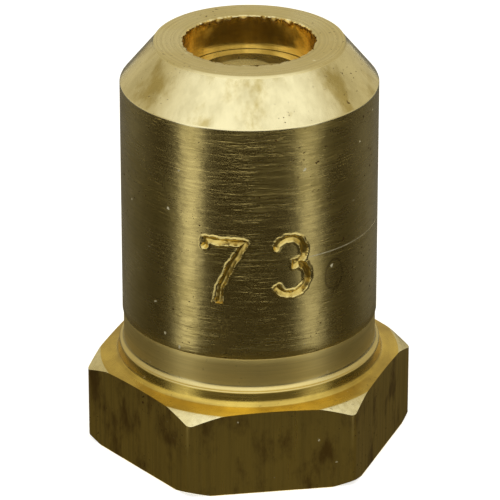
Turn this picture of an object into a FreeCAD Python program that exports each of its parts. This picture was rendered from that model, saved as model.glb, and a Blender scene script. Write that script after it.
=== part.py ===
"""Screw-on burner nozzle: a turned brass body with a hexagonal base and a bevelled nose.

A jet, a swirl core and a strainer are stacked in the nose bore. The fuel enters the threaded socket
in the base, passes the strainer, is spun by the swirl core and leaves through the jet's orifice.
Millimetres. The origin is the centre of the base's lower face, and +Z points out of the nose.
"""
import FreeCAD
import Part
import math
import os

# ---- driving sizes -------------------------------------------------------------------------------
INLET_BORE = 8.7            # crest diameter of the female inlet thread, 3/8 inch by 27 per inch
INLET_DEPTH = 8.2           # length of the inlet socket's wall, lead-in included
INLET_LEAD_IN = 0.45        # bevel at the socket's mouth
BODY_WALL = 1.3             # body metal outside the inlet bore
HEX_MARGIN = 0.7            # how far each flat stands outside the round body
HEX_CORNER_RADIUS = 0.4     # rounded corners of the hexagonal bar
HEX_HEIGHT = 3.86           # height of the hexagon where its upper bevel starts
HEX_TOP_BEVEL = 35.0        # degrees, slope of the bevel turned on the upper corners
EAR_START = 0.35            # that bevel starts this far outside the flats
HEX_BASE_BEVEL = 30.0       # degrees, slope of the bevel turned on the lower corners
BASE_BEVEL_START = 0.55     # the lower bevel starts this far outside the flats
LAND_RISE = 0.12            # rise of the nearly flat land towards the collar
HOLLOW_RUN = 0.16           # width of the hollow between the land and the collar
COLLAR_FOOT_MARGIN = 0.21   # the collar's foot lies this far outside the round body
COLLAR_FOOT_HEIGHT = 0.26   # the collar's foot above the hexagon
COLLAR_MARGIN = 0.15        # the collar's top lies this far outside the round body
COLLAR_HEIGHT = 0.74        # the collar's top above the hexagon
SHOULDER_HEIGHT = 0.92      # the collar's shoulder meets the neck this far above the hexagon
NECK_HEIGHT = 2.25          # the neck's upper end above the hexagon
NECK_STEP = 0.05            # depth of the neck below the round body
NOSE_BORE = 5.8             # bore that holds the jet, core and strainer
NOSE_LAND = 1.22            # width of the flat ring round the nose bore
NOSE_BEVEL_HEIGHT = 1.85    # height of the bevel between the nose face and the round body
NOSE_RECESS = 1.6           # how far the jet's face lies below the nose face
EDGE_BREAK = 0.12           # rounding of the two edges of the nose bevel
SEAT_WEB = 1.3              # metal between the inlet socket and the seat of the stack
SEAT_PASSAGE = 3.6          # hole through that web
FIT_CLEARANCE = 0.04        # radial clearance of the stack in the nose bore

JET_LENGTH = 3.8
JET_RIM = 0.49              # width of the jet's upper rim
JET_RECESS = 0.45           # depth of the round recess above the key socket
KEY_CLEARANCE = 0.05        # the key socket's corners lie this far inside the recess
KEY_DEPTH = 1.4
ORIFICE = 1.854             # orifice diameter, 0.073 inch
ORIFICE_LAND = 0.6          # length of the orifice
CHAMBER_RIM = 0.86          # rim of the jet's lower face, round the swirl chamber
CHAMBER_WALL = 0.28         # straight part of the swirl chamber
JET_END_BEVEL = 0.3

CORE_LENGTH = 2.7
CORE_SLOTS = 3
CORE_GROOVE_WIDTH = 1.0     # feed grooves in the core's side
CORE_GROOVE_DEPTH = 0.65
CORE_SLOT_WIDTH = 0.6       # tangential slots in the core's upper face
CORE_SLOT_DEPTH = 0.55
CORE_SLOT_OFFSET = 1.0      # distance of each slot from the axis
CORE_WELL_SHARE = 0.55      # the well in the core's lower face, as a share of its length
CORE_WELL_WALL = 1.25       # core metal outside that well

STRAINER_HEIGHT = 1.2
STRAINER_RING_WALL = 0.75
MESH_SEAT_WIDTH = 0.2       # ledge in the ring that carries the mesh
MESH_THICKNESS = 0.3
MESH_CLEARANCE = 0.02
MESH_HOLE = 0.36
MESH_PITCH = 0.6
MESH_RIM = 0.3              # unpierced rim of the mesh disc

# ---- places worked out from them -----------------------------------------------------------------
body_radius = INLET_BORE / 2 + BODY_WALL
flat_radius = body_radius + HEX_MARGIN
nose_radius = NOSE_BORE / 2
nose_face_radius = nose_radius + NOSE_LAND
stack_radius = nose_radius - FIT_CLEARANCE
seat_z = INLET_DEPTH + SEAT_WEB
core_z = seat_z + STRAINER_HEIGHT
jet_z = core_z + CORE_LENGTH
jet_top = jet_z + JET_LENGTH
nose_top = jet_top + NOSE_RECESS
body_top = nose_top - NOSE_BEVEL_HEIGHT
through = 1.0               # cutting tools overshoot the metal by this much


def point(radius, height):
    """A point of a turned outline, in the XZ plane."""
    return FreeCAD.Vector(radius, 0, height)


def turned(edges):
    """The solid that a closed outline in the XZ plane sweeps round Z."""
    face = Part.Face(Part.Wire(edges))
    return face.revolve(FreeCAD.Vector(0, 0, 0), FreeCAD.Vector(0, 0, 1), 360)


def line(start, end):
    return Part.makeLine(point(*start), point(*end))


def outline(*points):
    """Straight edges that join the points and close on the first."""
    return [line(a, b) for a, b in zip(points, points[1:] + points[:1])]


def cylinder(radius, low, high):
    return Part.makeCylinder(radius, high - low, FreeCAD.Vector(0, 0, low))


def cone(low_radius, high_radius, low, high):
    return Part.makeCone(low_radius, high_radius, high - low, FreeCAD.Vector(0, 0, low))


def hexagon_prism(across_flats, low, high, corner_radius=0.0):
    """A hexagonal bar with two of its corners on the X axis."""
    corner = across_flats / 2 / math.cos(math.pi / 6)
    points = []
    for k in range(7):
        turn = k * math.pi / 3
        points.append(FreeCAD.Vector(corner * math.cos(turn), corner * math.sin(turn), low))
    bar = Part.Face(Part.makePolygon(points)).extrude(FreeCAD.Vector(0, 0, high - low))
    if corner_radius:
        uprights = [e for e in bar.Edges if e.BoundBox.ZLength > (high - low) / 2]
        bar = bar.makeFillet(corner_radius, uprights)
    return bar


def body_outline():
    """The turned outside of the body, from the axis at the base to the axis at the nose."""
    base_bevel = flat_radius + BASE_BEVEL_START
    ear = flat_radius + EAR_START
    outside = flat_radius / math.cos(math.pi / 6) + through
    base_rise = (outside - base_bevel) * math.tan(math.radians(HEX_BASE_BEVEL))
    top_drop = (outside - ear) * math.tan(math.radians(HEX_TOP_BEVEL))
    collar_foot = (body_radius + COLLAR_FOOT_MARGIN, HEX_HEIGHT + COLLAR_FOOT_HEIGHT)
    land = (collar_foot[0] + HOLLOW_RUN, HEX_HEIGHT + LAND_RISE)
    hollow = (
        collar_foot[0] + 0.3 * (land[0] - collar_foot[0]),
        land[1] + 0.3 * (collar_foot[1] - land[1]),
    )
    collar = (body_radius + COLLAR_MARGIN, HEX_HEIGHT + COLLAR_HEIGHT)
    neck_radius = body_radius - NECK_STEP
    shoulder_z = HEX_HEIGHT + SHOULDER_HEIGHT
    neck_top_z = HEX_HEIGHT + NECK_HEIGHT
    return [
        line((0, 0), (base_bevel, 0)),
        line((base_bevel, 0), (outside, base_rise)),
        line((outside, base_rise), (outside, HEX_HEIGHT - top_drop)),
        line((outside, HEX_HEIGHT - top_drop), (ear, HEX_HEIGHT)),
        line((ear, HEX_HEIGHT), land),
        Part.Arc(point(*land), point(*hollow), point(*collar_foot)).toShape(),
        line(collar_foot, collar),
        line(collar, (neck_radius, shoulder_z)),
        line((neck_radius, shoulder_z), (neck_radius, neck_top_z)),
        line((neck_radius, neck_top_z), (body_radius, neck_top_z + NECK_STEP)),
        line((body_radius, neck_top_z + NECK_STEP), (body_radius, body_top)),
        line((body_radius, body_top), (nose_face_radius, nose_top)),
        line((nose_face_radius, nose_top), (0, nose_top)),
        line((0, nose_top), (0, 0)),
    ]


def nozzle_body():
    """Hexagonal base, neck, round body and bevelled nose, bored from both ends."""
    blank = turned(body_outline())
    hexagon_top = HEX_HEIGHT + SHOULDER_HEIGHT
    envelope = hexagon_prism(2 * flat_radius, 0, hexagon_top, HEX_CORNER_RADIUS)
    envelope = envelope.fuse(cylinder(flat_radius, hexagon_top, nose_top + through))
    blank = blank.common(envelope).removeSplitter()
    nose_edges = [
        e for e in blank.Edges
        if isinstance(e.Curve, Part.Circle)
        and min(abs(e.BoundBox.ZMin - body_top), abs(e.BoundBox.ZMin - nose_top)) < 1e-6
        and e.BoundBox.ZLength < 1e-6
    ]
    blank = blank.makeFillet(EDGE_BREAK, nose_edges)
    socket = cylinder(INLET_BORE / 2, -through, INLET_DEPTH)
    mouth = cone(INLET_BORE / 2 + INLET_LEAD_IN, INLET_BORE / 2, 0, INLET_LEAD_IN)
    passage = cylinder(SEAT_PASSAGE / 2, 0, seat_z + through)
    nose = cylinder(nose_radius, seat_z, nose_top + through)
    for tool in (socket, mouth, passage, nose):
        blank = blank.cut(tool)
    return blank.removeSplitter()


def jet():
    """The orifice piece: rim, round recess, key socket, orifice and swirl chamber."""
    blank = cylinder(stack_radius, jet_z, jet_top)
    recess_radius = stack_radius - JET_RIM
    recess_z = jet_top - JET_RECESS
    key_z = recess_z - KEY_DEPTH
    land_z = key_z - ORIFICE_LAND
    chamber_radius = stack_radius - CHAMBER_RIM
    chamber_top = jet_z + CHAMBER_WALL
    key_flats = 2 * (recess_radius - KEY_CLEARANCE) * math.cos(math.pi / 6)
    blank = blank.cut(cylinder(recess_radius, recess_z, jet_top + through))
    blank = blank.cut(hexagon_prism(key_flats, key_z, jet_top))
    blank = blank.cut(cylinder(ORIFICE / 2, jet_z - through, jet_top))
    blank = blank.cut(cone(chamber_radius, ORIFICE / 2, chamber_top, land_z))
    blank = blank.cut(cylinder(chamber_radius, jet_z - through, chamber_top))
    foot = [
        e for e in blank.Edges
        if e.BoundBox.ZMax < jet_z + 1e-6 and e.BoundBox.XLength > 2 * chamber_radius + 1e-3
    ]
    return blank.makeChamfer(JET_END_BEVEL, foot)


def swirl_core():
    """The plug that spins the fuel: side grooves feed slots cut off-centre in its upper face."""
    top = jet_z
    blank = cylinder(stack_radius, core_z, top)
    well_radius = stack_radius - CORE_WELL_WALL
    blank = blank.cut(cylinder(well_radius, core_z - through, core_z + CORE_LENGTH * CORE_WELL_SHARE))
    groove = Part.makeBox(
        CORE_GROOVE_DEPTH + through, CORE_GROOVE_WIDTH, CORE_LENGTH + 2 * through,
        FreeCAD.Vector(stack_radius - CORE_GROOVE_DEPTH, -CORE_GROOVE_WIDTH / 2, core_z - through),
    )
    slot = Part.makeBox(
        stack_radius, CORE_SLOT_WIDTH, CORE_SLOT_DEPTH + through,
        FreeCAD.Vector(0, CORE_SLOT_OFFSET - CORE_SLOT_WIDTH / 2, top - CORE_SLOT_DEPTH),
    )
    slot_reach = stack_radius - CORE_GROOVE_DEPTH / 2
    groove_turn = math.degrees(math.asin(CORE_SLOT_OFFSET / slot_reach))
    for k in range(CORE_SLOTS):
        turn = k * 360 / CORE_SLOTS
        for tool, start in ((groove, groove_turn), (slot, 0)):
            cut = tool.copy()
            cut.rotate(FreeCAD.Vector(0, 0, 0), FreeCAD.Vector(0, 0, 1), turn + start)
            blank = blank.cut(cut)
    return blank


def strainer_ring():
    """The ring that stands on the seat and carries the mesh in its upper ledge."""
    hole = stack_radius - STRAINER_RING_WALL
    ring = cylinder(stack_radius, seat_z, core_z)
    ring = ring.cut(cylinder(hole, seat_z - through, core_z + through))
    ledge = cylinder(hole + MESH_SEAT_WIDTH, core_z - MESH_THICKNESS, core_z + through)
    return ring.cut(ledge)


def strainer_mesh():
    """The pierced disc in the ring's ledge."""
    radius = stack_radius - STRAINER_RING_WALL + MESH_SEAT_WIDTH - MESH_CLEARANCE
    disc = cylinder(radius, core_z - MESH_THICKNESS, core_z)
    reach = radius - MESH_RIM - MESH_HOLE / 2
    steps = int(reach / MESH_PITCH)
    holes = []
    for i in range(-steps, steps + 1):
        for j in range(-steps, steps + 1):
            x, y = i * MESH_PITCH, j * MESH_PITCH
            if math.hypot(x, y) <= reach:
                holes.append(Part.makeCylinder(
                    MESH_HOLE / 2, MESH_THICKNESS + 2 * through,
                    FreeCAD.Vector(x, y, core_z - MESH_THICKNESS - through),
                ))
    return disc.cut(holes)


NODES = {
    "nozzle_body": nozzle_body,
    "jet": jet,
    "swirl_core": swirl_core,
    "strainer_ring": strainer_ring,
    "strainer_mesh": strainer_mesh,
}


def main():
    os.makedirs("parts", exist_ok=True)
    for name, make in NODES.items():
        shape = make()
        if not shape.isValid() or len(shape.Solids) != 1:
            raise ValueError(f"{name} is not one valid solid")
        shape.exportStep(os.path.join("parts", f"{name}.step"))
        box = shape.BoundBox
        print(name, round(shape.Volume, 2), round(box.XLength, 2), round(box.ZMin, 2), round(box.ZMax, 2))


main()
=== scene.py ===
"""Looks of a small screw-on burner nozzle: turned, milled and stamped brass in plain studio light."""

import math

import bmesh
import bpy
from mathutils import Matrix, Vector, noise


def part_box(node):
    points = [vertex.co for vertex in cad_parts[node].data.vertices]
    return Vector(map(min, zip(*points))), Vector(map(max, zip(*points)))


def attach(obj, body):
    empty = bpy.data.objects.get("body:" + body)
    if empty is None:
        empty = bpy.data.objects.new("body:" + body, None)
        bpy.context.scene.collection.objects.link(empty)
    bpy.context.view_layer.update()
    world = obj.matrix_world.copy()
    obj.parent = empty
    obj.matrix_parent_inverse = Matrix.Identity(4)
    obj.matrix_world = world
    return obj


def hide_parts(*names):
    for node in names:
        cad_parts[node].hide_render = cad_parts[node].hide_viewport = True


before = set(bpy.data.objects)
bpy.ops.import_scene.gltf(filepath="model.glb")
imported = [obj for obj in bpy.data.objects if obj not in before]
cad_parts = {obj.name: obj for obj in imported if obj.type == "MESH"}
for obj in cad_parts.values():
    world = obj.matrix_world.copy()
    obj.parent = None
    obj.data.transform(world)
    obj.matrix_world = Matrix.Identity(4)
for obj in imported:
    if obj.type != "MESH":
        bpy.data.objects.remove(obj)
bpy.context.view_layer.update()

MM = 0.001

# ---- sizes of the body, in millimetres, as in the construction ------------------------------------------
FLAT_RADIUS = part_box("nozzle_body")[1].y / MM   # the flats face -Y and every 60 degrees from there
NOSE_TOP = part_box("nozzle_body")[1].z / MM
JET_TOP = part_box("jet")[1].z / MM
SEAT_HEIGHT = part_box("strainer_ring")[0].z / MM
HEX_MARGIN = 0.7
BODY_RADIUS = FLAT_RADIUS - HEX_MARGIN

HEX_HEIGHT = 3.86
HEX_CORNER_RADIUS = 0.4
HEX_TOP_SLOPE = math.tan(math.radians(35))
HEX_BASE_SLOPE = math.tan(math.radians(30))
EAR_START = 0.35                    # the upper corner bevel starts this far outside the flats
BASE_BEVEL_START = 0.55             # and the lower one this far
BLANK_RADIUS = 7.6                  # the bar before its flats are cut

# Heights here are above the hexagon, and margins are outside the round body.
LAND_RISE = 0.12
HOLLOW_RUN = 0.16
HOLLOW_CURVE = 1.8
COLLAR_FOOT_MARGIN = 0.21
COLLAR_FOOT_HEIGHT = 0.26
COLLAR_MARGIN = 0.15
COLLAR_HEIGHT = 0.74
SHOULDER_HEIGHT = 0.92
SHOULDER_FILLET = 0.07              # the shoulder runs this far up the neck
NECK_STEP = 0.05
NECK_HEIGHT = 2.25

NOSE_RADIUS = 2.9
NOSE_FACE_RADIUS = 4.12
NOSE_BEVEL = 1.85
EDGE_BREAK = 0.12
SOFT = 0.03                         # how much the other turned edges are eased

SOCKET_RADIUS = 4.35
SOCKET_DEPTH = 8.2
LEAD_IN = 0.45
LEAD_IN_SLOPE = 0.6
SEAT_PASSAGE = 1.8

THREAD_PITCH = 25.4 / 27
THREAD_DEPTH = 0.42
THREAD_LEAD = 0.35                  # the first turn starts this far up the socket
THREAD_TAIL = 0.3                   # and the last one ends this far below its floor
THREAD_CREST = 0.16                 # width of the tooth's crest and root, in parts of the pitch
THREAD_ROOT = 0.92
THREAD_STEPS = 64                   # faces in one turn of the thread
TURN_STEPS = 288                    # faces round the axis

# ---- camera ---------------------------------------------------------------------------------------------
CAMERA_TURN = -8.95                 # degrees round the axis from the flat that faces -Y
CAMERA_RISE = 24.9
CAMERA_DISTANCE = 182.3 * MM
CAMERA_TARGET = Vector((0.027 * MM, 0, 8.76 * MM))
CAMERA_LENS = 296.3


# ---- mesh helpers ---------------------------------------------------------------------------------------
def arc(centre, radius, start, end, steps):
    """Points of an arc in the XZ plane, with the angles in degrees from +X."""
    turns = [math.radians(start + (end - start) * k / steps) for k in range(steps + 1)]
    return [(centre[0] + radius * math.cos(t), centre[1] + radius * math.sin(t)) for t in turns]


def between(start, end, share):
    """The point that lies a share of the way from start to end."""
    return (start[0] + (end[0] - start[0]) * share, start[1] + (end[1] - start[1]) * share)


def ladder(start, end, steps):
    """Points that divide a straight stretch, without its first one."""
    return [between(start, end, k / steps) for k in range(1, steps + 1)]


def turned(bm, outline, steps):
    """Spins a closed outline of (radius, height) points in millimetres round the axis."""
    verts = [bm.verts.new((radius * MM, 0, height * MM)) for radius, height in outline]
    edges = [bm.edges.new((verts[k - 1], verts[k])) for k in range(len(verts))]
    bmesh.ops.spin(
        bm, geom=verts + edges, cent=(0, 0, 0), axis=(0, 0, 1), angle=math.tau,
        steps=steps, use_merge=True,
    )
    bmesh.ops.remove_doubles(bm, verts=bm.verts, dist=1e-7)
    bmesh.ops.recalc_face_normals(bm, faces=bm.faces)


def turn_of(place):
    """How far round the axis a place lies, in degrees from -Y towards +X."""
    return math.degrees(math.atan2(place.x, -place.y))


def object_from(bm, name, materials):
    """Makes an object from the mesh, with its place in its points."""
    mesh = bpy.data.meshes.new(name)
    bm.to_mesh(mesh)
    bm.free()
    for material in materials:
        mesh.materials.append(material)
    made = bpy.data.objects.new(name, mesh)
    bpy.context.scene.collection.objects.link(made)
    return made


def finished(bm, name, body, materials, sharp_angle=28):
    """Makes the piece, smooth except at its real edges, and puts it on its body."""
    for face in bm.faces:
        face.smooth = True
    for edge in bm.edges:
        edge.smooth = edge.calc_face_angle(0) < math.radians(sharp_angle)
    piece = object_from(bm, name, materials)
    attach(piece, body)
    return piece


# ---- node helpers ---------------------------------------------------------------------------------------
class Nodes:
    """Short calls that add nodes to one material."""

    def __init__(self, name):
        self.material = bpy.data.materials.new(name)
        self.material.use_nodes = True
        self.tree = self.material.node_tree
        self.shader = self.tree.nodes["Principled BSDF"]
        self.coordinates = self.add("ShaderNodeTexCoord").outputs["Object"]

    def add(self, kind, **settings):
        node = self.tree.nodes.new(kind)
        for key, value in settings.items():
            setattr(node, key, value)
        return node

    def link(self, output, socket):
        self.tree.links.new(output, socket)

    def fill(self, socket, value):
        if isinstance(value, bpy.types.NodeSocket):
            self.link(value, socket)
        else:
            socket.default_value = value

    def math(self, operation, first, second=0.0, third=0.0):
        node = self.add("ShaderNodeMath", operation=operation)
        for socket, value in zip(node.inputs, (first, second, third)):
            self.fill(socket, value)
        return node.outputs[0]

    def times(self, first, second):
        return self.math("MULTIPLY", first, second)

    def vector(self, operation, first, second=(0, 0, 0)):
        node = self.add("ShaderNodeVectorMath", operation=operation)
        self.fill(node.inputs[0], first)
        self.fill(node.inputs[1], second)
        return node.outputs["Value" if operation in ("LENGTH", "DOT_PRODUCT") else "Vector"]

    def split(self, place):
        """The X, Y and Z of a place."""
        node = self.add("ShaderNodeSeparateXYZ")
        self.link(place, node.inputs[0])
        return node.outputs[0], node.outputs[1], node.outputs[2]

    def turn(self, x, y):
        """How far round the axis a place lies, in radians from -Y towards +X."""
        return self.math("ARCTAN2", x, self.times(y, -1.0))

    def noise(self, scale, stretch=(1, 1, 1), detail=3.0, rough=0.5, shift=0.0):
        """Noise with that many features per metre, times the stretch along each axis."""
        mapping = self.add("ShaderNodeMapping")
        mapping.inputs["Scale"].default_value = stretch
        mapping.inputs["Location"].default_value = (shift, shift, shift)
        self.link(self.coordinates, mapping.inputs["Vector"])
        node = self.add("ShaderNodeTexNoise")
        node.inputs["Scale"].default_value = scale
        node.inputs["Detail"].default_value = detail
        node.inputs["Roughness"].default_value = rough
        self.link(mapping.outputs[0], node.inputs["Vector"])
        return node.outputs["Fac"]

    def rings(self, scale):
        """Uneven rings round the axis, that many per metre."""
        flat = self.vector("MULTIPLY", self.coordinates, (1, 1, 0))
        node = self.add("ShaderNodeTexNoise", noise_dimensions="1D")
        node.inputs["Scale"].default_value = scale
        node.inputs["Detail"].default_value = 2.0
        self.link(self.vector("LENGTH", flat), node.inputs["W"])
        return node.outputs["Fac"]

    def band(self, value, low, high, out_low=0.0, out_high=1.0):
        """A soft step from one level to another as the value goes from low to high."""
        node = self.add("ShaderNodeMapRange", clamp=True, interpolation_type="SMOOTHSTEP")
        for socket, number in zip(node.inputs, (value, low, high, out_low, out_high)):
            self.fill(socket, number)
        return node.outputs[0]

    def window(self, value, start, full, fade, end):
        """One between full and fade, and nothing before start or after end."""
        return self.times(self.band(value, start, full), self.band(value, fade, end, 1.0, 0.0))

    def mix(self, factor, first, second):
        node = self.add("ShaderNodeMix", data_type="RGBA")
        self.fill(node.inputs["Factor"], factor)
        self.fill(node.inputs["A"], first)
        self.fill(node.inputs["B"], second)
        return node.outputs["Result"]

    def bump(self, height, distance, strength=1.0, normal=None):
        node = self.add("ShaderNodeBump")
        node.inputs["Distance"].default_value = distance
        node.inputs["Strength"].default_value = strength
        self.link(height, node.inputs["Height"])
        if normal is not None:
            self.link(normal, node.inputs["Normal"])
        return node.outputs["Normal"]


# ---- metals ---------------------------------------------------------------------------------------------
BRASS_FRESH = (0.93, 0.84, 0.50, 1)
BRASS_PALE = (0.80, 0.68, 0.32, 1)
BRASS_SATIN = (0.80, 0.64, 0.24, 1)
BRASS_OLIVE = (0.54, 0.42, 0.13, 1)
BRASS_GOLD = (0.90, 0.67, 0.15, 1)
BRASS_WARM = (0.76, 0.58, 0.17, 1)
BRASS_BROWN = (0.40, 0.27, 0.06, 1)
BRASS_UMBER = (0.24, 0.14, 0.035, 1)
BRASS_AMBER = (0.98, 0.72, 0.24, 1)
STEEL = (0.62, 0.61, 0.58, 1)
STEEL_DULL = (0.42, 0.40, 0.37, 1)
STEEL_PIERCED = (0.58, 0.57, 0.55, 1)
STEEL_STAINED = (0.36, 0.33, 0.28, 1)
# Dark brown for dirt specks and stains, and for the painted shade on the jet.
DIRT_AND_SHADE_BROWN = (0.10, 0.050, 0.012, 1)
NICK_BRIGHT = (0.98, 0.92, 0.66, 1)

ALONG_TURN = (0.42, 0.42, 3.0)      # marks that run round the axis
LONG_TURN = (0.06, 0.06, 3.0)       # longer, finer ones
ALONG_BAR = (2.2, 2.2, 0.07)        # marks that run up the bar
ALL_WAYS = (1, 1, 1)
ROUND_FACE = (1, 1, 0)              # rings on a face that was cut square to the axis

# Features per metre.
STAIN_SCALE = 300
PATCH_SCALE = 520
SCATTER_SCALE = 420
SPECK_SCALE = 5200
NICK_SCALE = 2300
TURNED_MARKS = 2600
FINE_MARKS = 3000
FACING_RINGS = 9000
CHATTER_MARKS = 420


def metal(
    name, bright, tarnished, roughness, marks, mark_scale, mark_depth, stain=0.5, specks=0.3,
    stain_stretch=ALL_WAYS, stain_edge=0.36, own_marks_and_shade=None,
):
    """Bare metal with broken tool marks darkened by painted shade, soft tarnish, dirt in its pits, a few
    bright nicks, and any marks of the piece's own: stains on the barrel, painted shade on the jet.
    """
    nodes = Nodes(name)
    cloud = nodes.noise(STAIN_SCALE, stain_stretch, detail=5.0, rough=0.6)
    tarnish = nodes.band(cloud, stain_edge, 0.68, 0.0, stain)
    if marks is ROUND_FACE:
        fine = nodes.rings(mark_scale)
    else:
        fine = nodes.noise(mark_scale, marks, detail=3.0, rough=0.6)
    broad = nodes.noise(mark_scale * 0.3, marks, detail=2.0, shift=3.0)
    patches = nodes.band(nodes.noise(PATCH_SCALE, shift=5.0), 0.35, 0.65, 0.35, 1.0)

    speck = nodes.band(nodes.noise(SPECK_SCALE, (1, 1, 1.3), detail=2.0, shift=7.0), 0.66, 0.72)
    scatter = nodes.band(nodes.noise(SCATTER_SCALE, detail=2.0, shift=13.0), 0.42, 0.62)
    dirt = nodes.times(nodes.times(speck, scatter), specks)
    nick = nodes.band(nodes.noise(NICK_SCALE, detail=1.0, shift=21.0), 0.775, 0.80, 0.0, specks)

    shaded = tuple(0.55 * channel for channel in tarnished[:3]) + (1,)
    colour = nodes.mix(tarnish, bright, tarnished)
    colour = nodes.mix(nodes.band(fine, 0.35, 0.7, 0.0, 0.28), colour, shaded)
    colour = nodes.mix(dirt, colour, DIRT_AND_SHADE_BROWN)
    # The piece's own marks darken the colour: real stains on the barrel, painted shade on the jet below its
    # rim.
    if own_marks_and_shade is not None:
        stain_and_shade, fresh = own_marks_and_shade(nodes)
        colour = nodes.mix(stain_and_shade, colour, DIRT_AND_SHADE_BROWN)
        nick = nodes.math("MAXIMUM", nick, fresh)
    colour = nodes.mix(nick, colour, NICK_BRIGHT)
    nodes.link(colour, nodes.shader.inputs["Base Color"])
    nodes.shader.inputs["Metallic"].default_value = 1.0

    spread = nodes.math("MULTIPLY_ADD", fine, 0.14, roughness - 0.07)
    spread = nodes.math("MULTIPLY_ADD", tarnish, 0.08, spread)
    spread = nodes.math("MULTIPLY_ADD", nodes.math("MAXIMUM", dirt, nick), 0.3, spread)
    nodes.link(spread, nodes.shader.inputs["Roughness"])

    normal = nodes.bump(broad, mark_depth * 2.0, 0.6)
    normal = nodes.bump(nodes.times(fine, patches), mark_depth, 1.0, normal)
    nodes.link(normal, nodes.shader.inputs["Normal"])
    return nodes.material


DROP_TURN = 31.5                    # degrees round the axis
DROP_HEIGHT = 9.6
DROP_HALF_WIDTH = 0.48
DROP_HALF_HEIGHT = 0.72
SCRATCH_HEIGHT = 10.78
SCRATCH_HALF_WIDTH = 0.035
SCRATCH_ENDS = (17, 21, 66, 76)     # degrees where it starts, is full, fades and ends


def barrel_stains(nodes):
    """A drop that dried beside the figures and left its edge, and a thin scratch round the body."""
    x, y, height = nodes.split(nodes.coordinates)
    turn = nodes.turn(x, y)
    across = nodes.math("SUBTRACT", turn, math.radians(DROP_TURN))
    across = nodes.times(across, BODY_RADIUS / DROP_HALF_WIDTH)
    up = nodes.times(nodes.math("SUBTRACT", height, DROP_HEIGHT * MM), 1 / (DROP_HALF_HEIGHT * MM))
    away = nodes.math("SQRT", nodes.math("ADD", nodes.times(across, across), nodes.times(up, up)))
    wander = nodes.noise(1500, shift=17.0)
    away = nodes.math("MULTIPLY_ADD", wander, 0.5, nodes.math("SUBTRACT", away, 0.25))
    off_edge = nodes.math("ABSOLUTE", nodes.math("SUBTRACT", away, 1.0))
    edge = nodes.band(off_edge, 0.02, 0.13, 0.50, 0.0)
    inside = nodes.band(away, 0.7, 1.0, 0.10, 0.0)

    off_line = nodes.math("ABSOLUTE", nodes.math("SUBTRACT", height, SCRATCH_HEIGHT * MM))
    line = nodes.band(off_line, 0.010 * MM, SCRATCH_HALF_WIDTH * MM, 0.8, 0.0)
    line = nodes.times(line, nodes.window(turn, *(math.radians(end) for end in SCRATCH_ENDS)))
    return nodes.math("MAXIMUM", edge, inside), line


def jet_shade(nodes):
    """Painted shade on the jet below its rim, where it sits down in the bore; the jet has no nicks of its
    own.
    """
    height = nodes.split(nodes.coordinates)[2]
    return nodes.band(height, (JET_TOP - 0.5) * MM, (JET_TOP - SOFT) * MM, 0.30, 0.0), 0.0


body_finishes = {
    "barrel": metal(
        "satin turned brass", BRASS_SATIN, BRASS_OLIVE, roughness=0.24, marks=ALONG_TURN,
        mark_scale=FINE_MARKS, mark_depth=2.3e-5, stain=0.9, specks=1.0, own_marks_and_shade=barrel_stains,
    ),
    "face": metal(
        "faced brass", BRASS_FRESH, BRASS_PALE, roughness=0.26, marks=ROUND_FACE,
        mark_scale=FACING_RINGS, mark_depth=1.6e-5, stain=0.9, specks=0.8,
    ),
    "nose": metal(
        "chattered nose brass", BRASS_FRESH, BRASS_OLIVE, roughness=0.20, marks=ALONG_BAR,
        mark_scale=CHATTER_MARKS, mark_depth=2.2e-5, stain=0.85, specks=0.8,
        stain_stretch=(2.2, 2.2, 0.8), stain_edge=0.46,
    ),
    # The broken edge is paler and less tarnished than the nose and barrel, which paints a highlight along
    # it.
    "edge": metal(
        "broken edge brass, painted highlight", BRASS_FRESH, BRASS_PALE, roughness=0.16, marks=LONG_TURN,
        mark_scale=TURNED_MARKS, mark_depth=2e-6, stain=0.3, specks=0.2,
    ),
    "neck": metal(
        "neck cut brass", BRASS_SATIN, BRASS_WARM, roughness=0.42, marks=LONG_TURN,
        mark_scale=TURNED_MARKS, mark_depth=5e-6, stain=0.4,
    ),
    # The shoulder has paler brass than the neck and collar, which paints the highlight along it.
    "shoulder": metal(
        "shoulder brass, painted highlight", BRASS_PALE, BRASS_SATIN, roughness=0.26, marks=LONG_TURN,
        mark_scale=TURNED_MARKS, mark_depth=6e-6, stain=0.8,
    ),
    "collar": metal(
        "collar cut brass", BRASS_GOLD, BRASS_BROWN, roughness=0.25, marks=LONG_TURN,
        mark_scale=TURNED_MARKS, mark_depth=6e-6, stain=0.7, specks=0.4,
    ),
    "cut": metal(
        "fresh cut brass", BRASS_FRESH, BRASS_PALE, roughness=0.24, marks=ALL_WAYS,
        mark_scale=3200, mark_depth=2.2e-5, stain=0.6, specks=0.7,
    ),
    "bar": metal(
        "drawn bar brass", BRASS_WARM, BRASS_UMBER, roughness=0.30, marks=ALONG_BAR,
        mark_scale=2200, mark_depth=1.2e-5, stain=0.9, specks=1.0,
        stain_stretch=(2.6, 2.6, 1.2), stain_edge=0.47,
    ),
    "bore": metal(
        "bored brass", BRASS_AMBER, BRASS_BROWN, roughness=0.17, marks=ALONG_TURN,
        mark_scale=2400, mark_depth=6e-6, stain=0.85, specks=0.5,
        stain_stretch=(2.0, 2.0, 0.15), stain_edge=0.44,
    ),
    "groove": metal(
        "stamped brass", BRASS_WARM, BRASS_BROWN, roughness=0.30, marks=ALL_WAYS,
        mark_scale=3200, mark_depth=1.2e-5, stain=0.9, specks=0.6,
    ),
}
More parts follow.
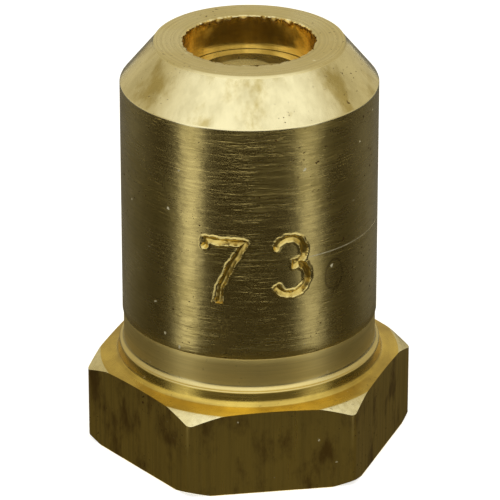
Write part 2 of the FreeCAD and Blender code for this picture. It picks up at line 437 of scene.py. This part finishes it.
carried_finishes = {
    "jet": metal(
        "jet brass", BRASS_FRESH, BRASS_PALE, roughness=0.26, marks=LONG_TURN,
        mark_scale=2800, mark_depth=5e-6, stain=0.4, specks=0.4, own_marks_and_shade=jet_shade,
    ),
    "swirl_core": metal(
        "machined steel", STEEL, STEEL_DULL, roughness=0.28, marks=LONG_TURN,
        mark_scale=2800, mark_depth=6e-6,
    ),
    "strainer_ring": metal(
        "strainer ring brass", BRASS_SATIN, BRASS_WARM, roughness=0.30, marks=ALONG_TURN,
        mark_scale=TURNED_MARKS, mark_depth=6e-6,
    ),
    "strainer_mesh": metal(
        "pierced steel", STEEL_PIERCED, STEEL_STAINED, roughness=0.34, marks=ALL_WAYS,
        mark_scale=2200, mark_depth=6e-6, stain=0.6,
    ),
}


# ---- stamped figures, in millimetres and degrees ----------------------------------------------------------
SEVEN = [[(-0.30, 0.40), (-0.29, 0.49), (0.29, 0.49), (0.10, 0.12), (-0.04, -0.22), (-0.07, -0.5)]]
THREE = [arc((0.0, 0.245), 0.25, 150, -75, 28), arc((0.0, -0.215), 0.285, 75, -150, 30)]
# Strokes of a figure one unit high, its place round the axis, its height, its size and its lean.
FIGURES = ((SEVEN, -20.2, 10.25, 1.12, -2.0), (THREE, 9.4, 10.5, 1.0, 4.0))
FIGURE_HEIGHT = 2.65
FIGURE_ROOM = (1.6, 1.75)           # how far a figure reaches from its middle, across and up
STAMP_DEPTH = 0.17
STAMP_HALF_WIDTH = 0.145
STAMP_RAGGED = 0.06
BURR_HEIGHT = 0.04
BURR_WIDTH = 0.05
STAMP_LOW = 8.75                    # the part of the round body that has finer faces
STAMP_HIGH = 12.1
STAMP_LEFT = -34.0
STAMP_RIGHT = 23.0
STAMP_ROWS = 30


def distance_to(x, y, strokes):
    """The distance from a point to the nearest stroke."""
    nearest = math.inf
    for stroke in strokes:
        for (ax, ay), (bx, by) in zip(stroke, stroke[1:]):
            dx, dy = bx - ax, by - ay
            share = ((x - ax) * dx + (y - ay) * dy) / (dx * dx + dy * dy)
            share = min(1.0, max(0.0, share))
            nearest = min(nearest, math.hypot(x - ax - share * dx, y - ay - share * dy))
    return nearest


def struck(turn, height):
    """How far the punches push the surface in, below zero, or raise it beside their grooves."""
    shift = 0.0
    for strokes, place, middle, size, lean in FIGURES:
        across = math.radians(turn - place) * BODY_RADIUS
        up = height - middle
        if abs(across) > FIGURE_ROOM[0] or abs(up) > FIGURE_ROOM[1]:
            continue
        scale = FIGURE_HEIGHT * size
        cos, sin = math.cos(math.radians(lean)), math.sin(math.radians(lean))
        x = (across * cos + up * sin) / scale
        y = (up * cos - across * sin) / scale
        ragged = STAMP_RAGGED * noise.noise(Vector((turn * 0.5, up * 3.4, 5.0)))
        gap = distance_to(x, y, strokes) * scale + ragged
        force = 0.8 + 0.35 * noise.noise(Vector((turn * 0.08, up * 0.7, 9.0))) - 0.14 * y
        groove = max(0.0, 1 - max(0.0, gap) / STAMP_HALF_WIDTH)
        shift -= STAMP_DEPTH * force * groove ** 0.8
        if gap > STAMP_HALF_WIDTH * 0.9:
            off_ridge = (gap - STAMP_HALF_WIDTH * 1.25) / BURR_WIDTH
            shift += BURR_HEIGHT * force * math.exp(-off_ridge ** 2)
    return min(shift, BURR_HEIGHT)


def in_window(vert, margin):
    """Whether a point lies on the stamped part of the round body, that far inside its top and bottom."""
    on_body = math.hypot(vert.co.x, vert.co.y) > (BODY_RADIUS - NECK_STEP) * MM
    level = STAMP_LOW + margin <= vert.co.z / MM <= STAMP_HIGH - margin
    return on_body and level and STAMP_LEFT <= turn_of(vert.co) <= STAMP_RIGHT


def stamp(bm):
    """Strikes two plain figures into the round body, each with a raised burr round its grooves."""
    chosen = {v for v in bm.verts if in_window(v, -0.01)}
    edges = [e for e in bm.edges if e.verts[0] in chosen and e.verts[1] in chosen]
    bmesh.ops.subdivide_edges(bm, edges=edges, cuts=3, use_grid_fill=True)
    for vert in bm.verts:
        if in_window(vert, 0.05):
            turn = turn_of(vert.co)
            radius = (BODY_RADIUS + struck(turn, vert.co.z / MM)) * MM
            vert.co.x = radius * math.sin(math.radians(turn))
            vert.co.y = -radius * math.cos(math.radians(turn))


# ---- body -----------------------------------------------------------------------------------------------
def hexagon_outline():
    """From the base's outer edge up the bar, over its upper bevel and up the hollow to the collar."""
    base_edge = FLAT_RADIUS + BASE_BEVEL_START
    ear = (FLAT_RADIUS + EAR_START, HEX_HEIGHT)
    blank_rise = (BLANK_RADIUS - base_edge) * HEX_BASE_SLOPE
    blank_drop = (BLANK_RADIUS - ear[0]) * HEX_TOP_SLOPE
    foot = (BODY_RADIUS + COLLAR_FOOT_MARGIN, HEX_HEIGHT + COLLAR_FOOT_HEIGHT)
    land = (foot[0] + HOLLOW_RUN, HEX_HEIGHT + LAND_RISE)
    points = [(base_edge, 0)]
    points += ladder(points[-1], (BLANK_RADIUS, blank_rise), 3)
    points += ladder(points[-1], (BLANK_RADIUS, HEX_HEIGHT - blank_drop), 2)
    points += ladder(points[-1], (ear[0] + SOFT, ear[1] - SOFT * HEX_TOP_SLOPE), 6)
    points += [(ear[0] - SOFT, ear[1] + 0.002)]
    points += ladder(points[-1], land, 4)
    for share in (0.2, 0.4, 0.6, 0.8, 1.0):
        rise = (foot[1] - land[1]) * share ** HOLLOW_CURVE
        points.append((land[0] - HOLLOW_RUN * share, land[1] + rise))
    return points


def neck_outline(foot):
    """From the collar's foot up its wall, over the shoulder and up the neck to the round body."""
    collar = (BODY_RADIUS + COLLAR_MARGIN, HEX_HEIGHT + COLLAR_HEIGHT)
    collar_edge = (collar[0] - 0.025, collar[1] + 0.025)
    neck_radius = BODY_RADIUS - NECK_STEP
    neck_foot = HEX_HEIGHT + SHOULDER_HEIGHT + SHOULDER_FILLET
    neck_top = HEX_HEIGHT + NECK_HEIGHT
    points = ladder(foot, between(foot, collar, 0.9), 3)
    points += [(collar[0], collar[1] - 0.01), collar_edge]
    for turn in (math.radians(15 * k) for k in range(1, 7)):
        run = (collar_edge[0] - neck_radius) * math.sin(turn)
        drop = (neck_foot - collar_edge[1]) * math.cos(turn)
        points.append((collar_edge[0] - run, neck_foot - drop))
    points += ladder(points[-1], (neck_radius, neck_top - 0.04), 5)
    points += [(neck_radius - 0.012, neck_top), (BODY_RADIUS - 0.012, neck_top + SOFT)]
    points += [(BODY_RADIUS, neck_top + 0.07)]
    return points


def nose_outline(start):
    """From the round body's foot up to the nose, over its bevel and its ring to the bore's edge."""
    bevel_foot = NOSE_TOP - NOSE_BEVEL
    lean = math.degrees(math.atan2(BODY_RADIUS - NOSE_FACE_RADIUS, NOSE_BEVEL))
    points = ladder(start, (BODY_RADIUS, STAMP_LOW), 6)
    points += ladder(points[-1], (BODY_RADIUS, STAMP_HIGH), STAMP_ROWS)
    points += ladder(points[-1], (BODY_RADIUS, bevel_foot - 0.07), 10)
    points += arc((BODY_RADIUS - EDGE_BREAK, bevel_foot - 0.055), EDGE_BREAK, 0, lean, 4)[1:]
    points += ladder(points[-1], (NOSE_FACE_RADIUS + 0.09, NOSE_TOP - 0.11), 10)
    points += arc((NOSE_FACE_RADIUS - SOFT, NOSE_TOP - EDGE_BREAK), EDGE_BREAK, lean, 90, 4)[1:]
    points += ladder(points[-1], (NOSE_RADIUS + 0.07, NOSE_TOP), 6)
    points += [(NOSE_RADIUS + 0.02, NOSE_TOP - 0.015), (NOSE_RADIUS, NOSE_TOP - 0.06)]
    return points


def inner_outline(start):
    """From the bore's edge down to the seat, through its passage and down the inlet socket."""
    socket_wall = SOCKET_RADIUS + THREAD_DEPTH
    points = ladder(start, (NOSE_RADIUS, JET_TOP - 0.1), 8)
    points += ladder(points[-1], (NOSE_RADIUS, SEAT_HEIGHT), 8)
    points += ladder(points[-1], (SEAT_PASSAGE, SEAT_HEIGHT), 2)
    points += ladder(points[-1], (SEAT_PASSAGE, SOCKET_DEPTH), 2)
    points += ladder(points[-1], (socket_wall, SOCKET_DEPTH), 3)
    points += ladder(points[-1], (socket_wall, LEAD_IN), 8)
    points += ladder(points[-1], (socket_wall + LEAD_IN * LEAD_IN_SLOPE, 0), 2)
    return points


def body_outline():
    """The closed outline of the turned body."""
    points = hexagon_outline()
    points += neck_outline(points[-1])
    points += nose_outline(points[-1])
    points += inner_outline(points[-1])
    return points


def mill_hexagon(bm):
    """Cuts the six flats, and the facets that round the corners between them."""
    corner_reach = (FLAT_RADIUS - HEX_CORNER_RADIUS) / math.cos(math.radians(30))
    cuts = []
    for side in range(6):
        cuts.append((side * 60.0, FLAT_RADIUS))
        for lean in (-20, -10, 0, 10, 20):
            reach = corner_reach * math.cos(math.radians(lean)) + HEX_CORNER_RADIUS
            cuts.append((side * 60.0 + 30 + lean, reach))
    for turn, reach in cuts:
        angle = math.radians(turn - 90)
        normal = Vector((math.cos(angle), math.sin(angle), 0))
        found = bmesh.ops.bisect_plane(
            bm, geom=bm.verts[:] + bm.edges[:] + bm.faces[:], dist=1e-8,
            plane_co=normal * reach * MM, plane_no=normal, clear_outer=True,
        )
        rim = [e for e in found["geom_cut"] if isinstance(e, bmesh.types.BMEdge) and e.is_boundary]
        bmesh.ops.holes_fill(bm, edges=rim, sides=0)
    bmesh.ops.remove_doubles(bm, verts=bm.verts, dist=2e-7)


RIM_TEAR = 0.08                     # how far the torn edge strays outward
RIM_DIP = 0.05                      # and downward
RIM_WAVES = (9, 34)                 # broad and fine tears


def roughen_rim(bm):
    """Leaves the nose bore's upper edge torn where the drill broke through."""
    for vert in bm.verts:
        radius = math.hypot(vert.co.x, vert.co.y) / MM
        if vert.co.z / MM < NOSE_TOP - 0.07 or not -0.01 < radius - NOSE_RADIUS < 0.08:
            continue
        x, y = math.sin(math.radians(turn_of(vert.co))), math.cos(math.radians(turn_of(vert.co)))
        tear = noise.noise(Vector((x * RIM_WAVES[0], y * RIM_WAVES[0], 2.0)))
        fine = noise.noise(Vector((x * RIM_WAVES[1], y * RIM_WAVES[1], 4.0)))
        stray = 1 + RIM_TEAR * (tear + fine) / radius
        vert.co.x *= stray
        vert.co.y *= stray
        vert.co.z -= abs(fine) * RIM_DIP * MM


def zone_of(face):
    """The finish of a face of the body."""
    centre = face.calc_center_median() / MM
    radius = math.hypot(centre.x, centre.y)
    above_hexagon = centre.z - HEX_HEIGHT
    bevel_foot = NOSE_TOP - NOSE_BEVEL
    in_nose = radius < NOSE_RADIUS + SOFT and SOCKET_DEPTH < centre.z < NOSE_TOP - 0.05
    in_socket = radius < SOCKET_RADIUS + THREAD_DEPTH + 0.1 and 0 < centre.z < SOCKET_DEPTH + 0.1
    if in_nose or in_socket:
        return "bore"
    if centre.z > NOSE_TOP - 0.1:
        return "face"
    if centre.z > bevel_foot + SOFT:
        return "nose"
    if centre.z > bevel_foot - 2 * SOFT:
        return "edge"
    if above_hexagon > NECK_HEIGHT + 0.02:
        return "groove" if radius < BODY_RADIUS - SOFT else "barrel"
    if above_hexagon > SHOULDER_HEIGHT + 0.05:
        return "neck"
    if above_hexagon > COLLAR_HEIGHT - 0.01:
        return "shoulder"
    if above_hexagon > 0.001:
        return "collar"
    return "bar" if abs(face.normal.z) < 0.3 else "cut"


def build_body():
    bm = bmesh.new()
    turned(bm, body_outline(), TURN_STEPS)
    mill_hexagon(bm)
    stamp(bm)
    roughen_rim(bm)
    bmesh.ops.recalc_face_normals(bm, faces=bm.faces)
    zones = list(body_finishes)
    for face in bm.faces:
        face.material_index = zones.index(zone_of(face))
    piece = finished(bm, "turned_body", "body", body_finishes.values())
    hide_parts("nozzle_body")


def build_thread():
    """The inlet thread: one tooth spun up the socket, with its outer side sunk in the wall."""
    bm = bmesh.new()
    root = SOCKET_RADIUS + THREAD_DEPTH + SOFT
    crest = SOCKET_RADIUS + SOFT
    half = THREAD_PITCH / 2
    tooth = [
        (root, -half * THREAD_ROOT), (crest, -half * THREAD_CREST),
        (crest, half * THREAD_CREST), (root, half * THREAD_ROOT),
    ]
    start = THREAD_LEAD + half
    verts = [bm.verts.new((radius * MM, 0, (start + height) * MM)) for radius, height in tooth]
    bm.faces.new(verts)
    turns = (SOCKET_DEPTH - THREAD_TAIL - THREAD_LEAD - THREAD_PITCH) / THREAD_PITCH
    steps = int(THREAD_STEPS * turns)
    bmesh.ops.spin(
        bm, geom=bm.faces[:] + bm.edges[:] + bm.verts[:], cent=(0, 0, 0), axis=(0, 0, 1),
        dvec=(0, 0, THREAD_PITCH * MM / THREAD_STEPS), angle=math.tau * steps / THREAD_STEPS,
        steps=steps, use_merge=False,
    )
    bmesh.ops.remove_doubles(bm, verts=bm.verts, dist=1e-8)
    bmesh.ops.holes_fill(bm, edges=[e for e in bm.edges if e.is_boundary], sides=0)
    bmesh.ops.recalc_face_normals(bm, faces=bm.faces)
    finished(bm, "inlet_thread", "body", [body_finishes["bore"]])


# ---- stage ----------------------------------------------------------------------------------------------
FLOOR_HALF_WIDTH = 3.0              # metres
FLOOR_GLOW = 0.62
TENT_RADIUS = 150.0
TENT_TOP_RISE = 55                  # the tent is brightest this many degrees up in front
TENT_BOX = (28, 40, 58, 74)         # degrees from the camera of the low box on each side
TENT_DIM = (0.54, 0.48, 0.33, 1)
TENT_BRIGHT = (1.05, 1.05, 1.03, 1)
FLAG_INNER = 5.0
FLAG_GROWTH = 28
FLAG_HEIGHT = 0.02
FLAG_STRIP = (36, 48, 50, 66)       # degrees from the camera of the lighter strip on each side
FLAG_STRIP_LEVELS = (0.88, 0.64)    # left and right
FLAG_BACK_LEVEL = 0.12
FLAG_CLEAR = (13.0, 17.0)           # the strips start this far from the axis
FLAG_NEAR = (0.088, 0.072, 0.036, 1)
FLAG_FAR = (0.030, 0.024, 0.012, 1)


def from_camera(nodes):
    """The position on the stage, turned so that -Y points at the camera."""
    mapping = nodes.add("ShaderNodeMapping", vector_type="POINT")
    mapping.inputs["Rotation"].default_value = (0, 0, math.radians(-CAMERA_TURN))
    nodes.link(nodes.coordinates, mapping.inputs["Vector"])
    return mapping.outputs[0]


def side_window(nodes, x, y, degrees):
    """A window in the angle from the camera, the same on both sides."""
    turn = nodes.turn(nodes.math("ABSOLUTE", x), y)
    return nodes.window(turn, *(math.radians(angle) for angle in degrees))


def glow(name, colour_of):
    """A material that only gives light, of a colour worked out by its nodes."""
    nodes = Nodes(name)
    nodes.tree.nodes.remove(nodes.shader)
    emission = nodes.add("ShaderNodeEmission")
    nodes.link(colour_of(nodes), emission.inputs["Color"])
    nodes.link(emission.outputs[0], nodes.tree.nodes["Material Output"].inputs["Surface"])
    return nodes.material


def tent_colour(nodes):
    """Bright in front and above, dimmer and warmer behind, with a low bright box on each side."""
    place = nodes.vector("NORMALIZE", from_camera(nodes))
    rise = math.radians(TENT_TOP_RISE)
    toward = nodes.vector("DOT_PRODUCT", place, (0, -math.cos(rise), math.sin(rise)))
    top = nodes.band(toward, 0.3, 0.9)
    x, y, height = nodes.split(place)
    low = nodes.band(height, 0.45, 0.62, 1.0, 0.0)
    box = nodes.times(side_window(nodes, x, y, TENT_BOX), low)
    return nodes.mix(nodes.math("MAXIMUM", top, box), TENT_DIM, TENT_BRIGHT)


def flag_colour(nodes):
    """Dark and warm, with a lighter strip on each side of the camera that starts clear of the base."""
    place = from_camera(nodes)
    x, y, height = nodes.split(place)
    level = nodes.band(x, -1.0 * MM, 1.0 * MM, *FLAG_STRIP_LEVELS)
    strip = nodes.times(side_window(nodes, x, y, FLAG_STRIP), level)
    turn = nodes.turn(nodes.math("ABSOLUTE", x), y)
    back = nodes.band(turn, math.radians(78), math.radians(125), 0.0, FLAG_BACK_LEVEL)
    clear = nodes.band(nodes.vector("LENGTH", place), FLAG_CLEAR[0] * MM, FLAG_CLEAR[1] * MM)
    light = nodes.times(nodes.math("ADD", strip, back), clear)
    return nodes.mix(light, nodes.mix(clear, FLAG_NEAR, FLAG_FAR), (1, 1, 1, 1))


def build_floor():
    """A pale floor that looks white from the camera and in the metal, and still takes the shadow."""
    bm = bmesh.new()
    bmesh.ops.create_grid(bm, x_segments=2, y_segments=2, size=FLOOR_HALF_WIDTH)
    nodes = Nodes("pale floor")
    nodes.shader.inputs["Base Color"].default_value = (0.9, 0.9, 0.9, 1)
    nodes.shader.inputs["Roughness"].default_value = 0.9
    path = nodes.add("ShaderNodeLightPath")
    seen = nodes.math("MAXIMUM", path.outputs["Is Camera Ray"], path.outputs["Is Glossy Ray"])
    seen = nodes.math("MAXIMUM", seen, path.outputs["Is Transmission Ray"])
    nodes.shader.inputs["Emission Color"].default_value = (1, 1, 1, 1)
    nodes.link(nodes.times(seen, FLOOR_GLOW), nodes.shader.inputs["Emission Strength"])
    object_from(bm, "floor", [nodes.material])


def build_tent():
    """A round cloth tent that lights the metal from all sides and that the camera looks through."""
    bm = bmesh.new()
    bmesh.ops.create_uvsphere(bm, u_segments=48, v_segments=24, radius=TENT_RADIUS * MM)
    tent = object_from(bm, "light_tent", [glow("tent cloth", tent_colour)])
    tent.visible_camera = False


def build_flag():
    """A dark cloth ring round the foot that only the metal reflects."""
    bm = bmesh.new()
    bmesh.ops.create_circle(bm, cap_ends=False, segments=96, radius=FLAG_INNER * MM)
    outer = bmesh.ops.extrude_edge_only(bm, edges=bm.edges[:])["geom"]
    rim = [v for v in outer if isinstance(v, bmesh.types.BMVert)]
    bmesh.ops.scale(bm, vec=(FLAG_GROWTH, FLAG_GROWTH, 1), verts=rim)
    bmesh.ops.translate(bm, vec=(0, 0, FLAG_HEIGHT * MM), verts=bm.verts)
    flag = object_from(bm, "floor_flag", [glow("flag cloth", flag_colour)])
    flag.visible_camera = False
    flag.visible_diffuse = False
    flag.visible_shadow = False


def build_world():
    world = bpy.data.worlds.new("studio white")
    world.use_nodes = True
    world.node_tree.nodes["Background"].inputs["Color"].default_value = (1, 1, 1, 1)
    world.node_tree.nodes["Background"].inputs["Strength"].default_value = 1.0
    bpy.context.scene.world = world


def build_camera():
    turn, rise = math.radians(CAMERA_TURN), math.radians(CAMERA_RISE)
    level = math.cos(rise)
    back = Vector((math.sin(turn) * level, -math.cos(turn) * level, math.sin(rise)))
    data = bpy.data.cameras.new("camera")
    data.lens = CAMERA_LENS
    data.clip_start = 0.01
    data.clip_end = 10.0
    camera = bpy.data.objects.new("camera", data)
    camera.location = CAMERA_TARGET + back * CAMERA_DISTANCE
    camera.rotation_mode = "QUATERNION"
    camera.rotation_quaternion = (-back).to_track_quat("-Z", "Y")
    bpy.context.scene.collection.objects.link(camera)
    bpy.context.scene.camera = camera


# ---- the nozzle on its stage ------------------------------------------------------------------------------
build_body()
build_thread()
for node, finish in carried_finishes.items():
    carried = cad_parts[node].data
    carried.materials.clear()
    carried.materials.append(finish)

build_floor()
build_tent()
build_flag()
build_world()
build_camera()
bpy.context.scene.view_settings.view_transform = "Standard"
